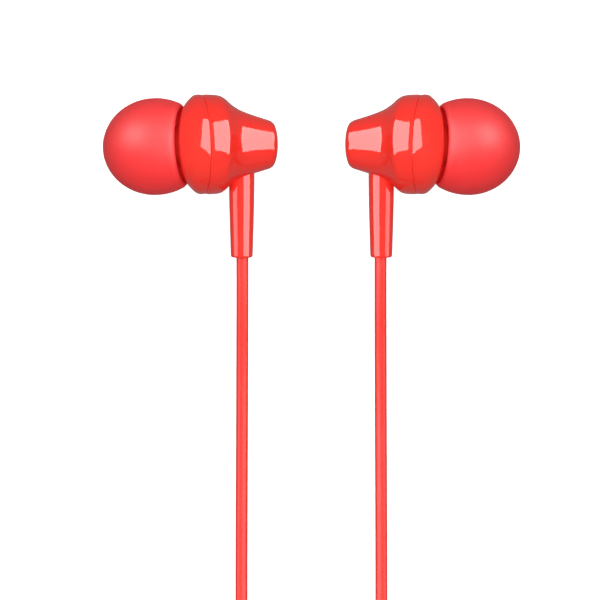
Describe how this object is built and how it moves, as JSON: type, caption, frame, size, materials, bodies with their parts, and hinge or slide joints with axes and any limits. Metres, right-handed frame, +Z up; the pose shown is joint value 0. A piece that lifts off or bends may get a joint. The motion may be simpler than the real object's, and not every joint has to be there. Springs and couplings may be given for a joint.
{
  "type": "wired in-ear earphones",
  "caption": "Wired in-ear earphones with angled nozzles, slip-on silicone tips, straight stems, coiled cords, a splitter and a straight three-pole plug.",
  "frame": {"origin": "on the table under the middle of the two buds' box, on the mirror plane between them", "axes": "+X from the left bud to the right bud, +Y away from the stems' ends, +Z up from the table"},
  "size_m": [0.063, 0.1237, 0.0131],
  "materials": {
    "red_gloss": "polished moulded plastic",
    "red_silicone": "matte silicone",
    "red_jacket": "satin soft jacket",
    "steel": "plated steel",
    "gold": "gold-plated brass",
    "copper": "enamelled copper",
    "magnet": "nickel-plated magnet",
    "film": "thin polyester film",
    "black_plastic": "moulded black plastic",
    "felt": "damping felt",
    "board": "green circuit board"
  },
  "bodies": {
    "root": {"left_front_shell": "red_gloss", "left_rear_shell": "red_gloss", "left_stem": "red_gloss", "left_nozzle_mesh": "steel", "left_driver_cover": "steel", "left_driver_frame": "black_plastic", "left_top_plate": "steel", "left_magnet": "magnet", "left_yoke": "steel", "left_damping_disc": "felt", "left_terminal_board": "board", "left_signal_lead": "gold", "left_ground_lead": "copper", "left_cable_knot": "red_jacket", "left_cord": "red_jacket", "left_cord_coil": "red_jacket", "left_cord_tail": "red_jacket", "right_front_shell": "red_gloss", "right_rear_shell": "red_gloss", "right_stem": "red_gloss", "right_nozzle_mesh": "steel", "right_driver_cover": "steel", "right_driver_frame": "black_plastic", "right_top_plate": "steel", "right_magnet": "magnet", "right_yoke": "steel", "right_damping_disc": "felt", "right_terminal_board": "board", "right_signal_lead": "gold", "right_ground_lead": "copper", "right_cable_knot": "red_jacket", "right_cord": "red_jacket", "right_cord_coil": "red_jacket", "right_cord_tail": "red_jacket", "splitter": "red_jacket", "main_cord": "red_jacket", "main_cord_coil": "red_jacket", "main_cord_tail": "red_jacket", "plug_strain_relief": "red_jacket", "plug_grip": "red_gloss", "plug_sleeve_contact": "gold", "plug_ring_insulator": "black_plastic", "plug_ring_contact": "gold", "plug_tip_insulator": "black_plastic", "plug_tip_contact": "gold"},
    "left_ear_tip_body": {"left_ear_tip": "red_silicone"},
    "left_diaphragm_body": {"left_diaphragm": "film", "left_voice_coil": "copper"},
    "right_ear_tip_body": {"right_ear_tip": "red_silicone"},
    "right_diaphragm_body": {"right_diaphragm": "film", "right_voice_coil": "copper"}
  },
  "joints": [
    {"name": "left_ear_tip_pull", "type": "slide", "parent": "root", "child": "left_ear_tip_body", "axis": [-0.9733, -0.0442, -0.2251], "range_m": [0, 0.008]},
    {"name": "left_diaphragm_travel", "type": "slide", "parent": "root", "child": "left_diaphragm_body", "axis": [-0.9848, 0, 0.1736], "range_m": [-0.0002, 0.0002], "stiffness_N_per_m": 5},
    {"name": "right_ear_tip_pull", "type": "slide", "parent": "root", "child": "right_ear_tip_body", "axis": [0.9733, -0.0442, -0.2251], "range_m": [0, 0.008]},
    {"name": "right_diaphragm_travel", "type": "slide", "parent": "root", "child": "right_diaphragm_body", "axis": [0.9848, 0, 0.1736], "range_m": [-0.0002, 0.0002], "stiffness_N_per_m": 5}
  ]
}
